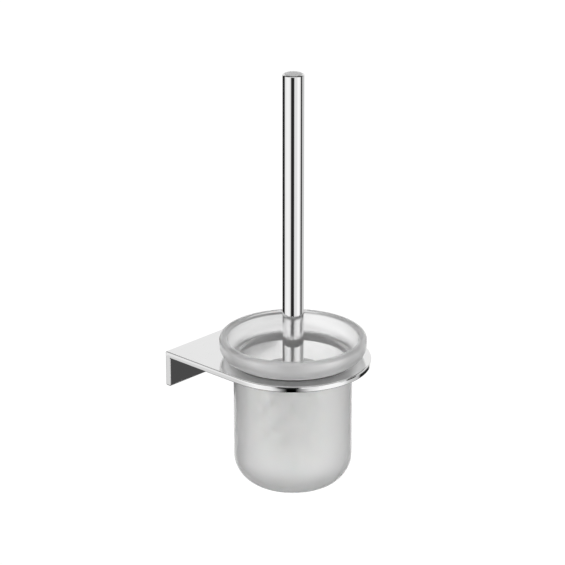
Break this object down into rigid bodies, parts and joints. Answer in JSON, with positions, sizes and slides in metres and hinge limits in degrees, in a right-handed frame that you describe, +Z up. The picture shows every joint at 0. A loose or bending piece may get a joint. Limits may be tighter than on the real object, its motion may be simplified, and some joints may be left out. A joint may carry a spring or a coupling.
{
  "type": "toilet brush holder",
  "caption": "Wall-mounted toilet brush set: chrome bracket with a round hole, satin glass cup with a flared bowl, and a lift-out brush with a round chrome handle.",
  "frame": {"origin": "middle of the bracket's wall face, in the plane of the wall", "axes": "+Z up along the handle, +Y into the wall, +X to the right as seen from the room"},
  "size_m": [0.1316, 0.1518, 0.3599],
  "materials": {
    "chrome": "mirror chrome plate",
    "satin_steel": "satin chrome end disc",
    "fixing_steel": "zinc-plated steel",
    "satin_glass": "acid-etched satin glass",
    "seat_plastic": "translucent soft plastic",
    "bush_plastic": "black moulded plastic",
    "seal_rubber": "black rubber",
    "cover_plastic": "light grey moulded plastic",
    "core_plastic": "white moulded plastic",
    "insert_brass": "turned brass",
    "bristle": "white nylon bristle"
  },
  "bodies": {
    "bracket": {"holder_bracket": "chrome", "wall_plate": "fixing_steel", "grub_screws": "fixing_steel", "seat_ring": "seat_plastic"},
    "cup": {"glass_cup": "satin_glass"},
    "handle": {"handle_tube": "chrome", "handle_cap": "satin_steel", "handle_bush": "bush_plastic", "handle_stud": "fixing_steel", "sealing_washer": "seal_rubber"},
    "brush_head": {"head_cover": "cover_plastic", "head_core": "core_plastic", "thread_insert": "insert_brass", "bristle_row_1": "bristle", "bristle_row_2": "bristle", "bristle_row_3": "bristle", "bristle_row_4": "bristle", "bristle_row_5": "bristle", "bristle_row_6": "bristle", "tip_tufts": "bristle"}
  },
  "joints": [
    {"name": "cup_lift", "type": "slide", "parent": "bracket", "child": "cup", "axis": [0, 0, 1], "range_m": [0, 0.13]},
    {"name": "brush_lift", "type": "slide", "parent": "cup", "child": "handle", "axis": [0, 0, 1], "range_m": [0, 0.14]},
    {"name": "head_unscrew", "type": "hinge", "parent": "handle", "child": "brush_head", "pos_m": [0, -0.086, 0], "axis": [0, 0, -1], "range_deg": [0, 2880]}
  ]
}
